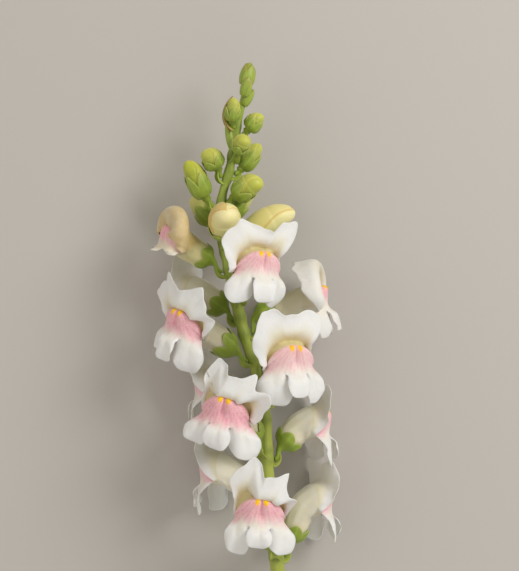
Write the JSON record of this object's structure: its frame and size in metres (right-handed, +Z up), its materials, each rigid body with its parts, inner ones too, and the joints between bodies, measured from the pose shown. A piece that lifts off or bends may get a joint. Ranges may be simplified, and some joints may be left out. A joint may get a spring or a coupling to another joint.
{
  "type": "cut snapdragon stem",
  "caption": "Cut snapdragon stem lying down, with hooded white blooms that have pink palates, yellow-green buds towards the tip, and a bare lower stem.",
  "frame": {"origin": "middle of the laid-down stem's footprint, on the surface it lies on", "axes": "+Y along the stem towards its tip, +Z up from the surface towards the side the best blooms face, +X to the right of the tip"},
  "size_m": [0.0842, 0.2862, 0.059],
  "materials": {
    "stem_green": "smooth matte living stem",
    "sepal_green": "matte green sepal",
    "petal_white": "soft white petal, pink on the palate with two gold spots",
    "bud_cream": "soft cream bud about to open",
    "bud_green": "soft yellow-green closed bud"
  },
  "bodies": {
    "root": {"stem": "stem_green", "bloom_01_calyx": "sepal_green", "bloom_01_corolla": "petal_white", "bloom_02_calyx": "sepal_green", "bloom_02_corolla": "petal_white", "bloom_03_calyx": "sepal_green", "bloom_03_corolla": "petal_white", "bloom_04_calyx": "sepal_green", "bloom_04_corolla": "petal_white", "bloom_05_calyx": "sepal_green", "bloom_05_corolla": "petal_white", "bloom_06_calyx": "sepal_green", "bloom_06_corolla": "petal_white", "bloom_07_calyx": "sepal_green", "bloom_07_corolla": "petal_white", "bloom_08_calyx": "sepal_green", "bloom_08_corolla": "petal_white", "bloom_09_calyx": "sepal_green", "bloom_09_corolla": "petal_white", "bloom_10_calyx": "sepal_green", "bloom_10_corolla": "petal_white", "bloom_11_calyx": "sepal_green", "bloom_11_corolla": "petal_white", "bloom_12_calyx": "sepal_green", "bloom_12_corolla": "petal_white", "bloom_13_calyx": "sepal_green", "bloom_13_corolla": "petal_white", "bud_01_calyx": "sepal_green", "bud_01_corolla": "bud_cream", "bud_02_calyx": "sepal_green", "bud_02_corolla": "bud_cream", "bud_03_calyx": "sepal_green", "bud_03_corolla": "bud_cream", "bud_04_calyx": "sepal_green", "bud_04_corolla": "bud_cream", "bud_05_calyx": "sepal_green", "bud_05_corolla": "bud_green", "bud_06_calyx": "sepal_green", "bud_06_corolla": "bud_green", "bud_07_calyx": "sepal_green", "bud_07_corolla": "bud_green", "bud_08_calyx": "sepal_green", "bud_08_corolla": "bud_green", "bud_09_calyx": "sepal_green", "bud_09_corolla": "bud_green", "bud_10_calyx": "sepal_green", "bud_10_corolla": "bud_green", "bud_11_calyx": "sepal_green", "bud_11_corolla": "bud_green"}
  },
  "joints": []
}
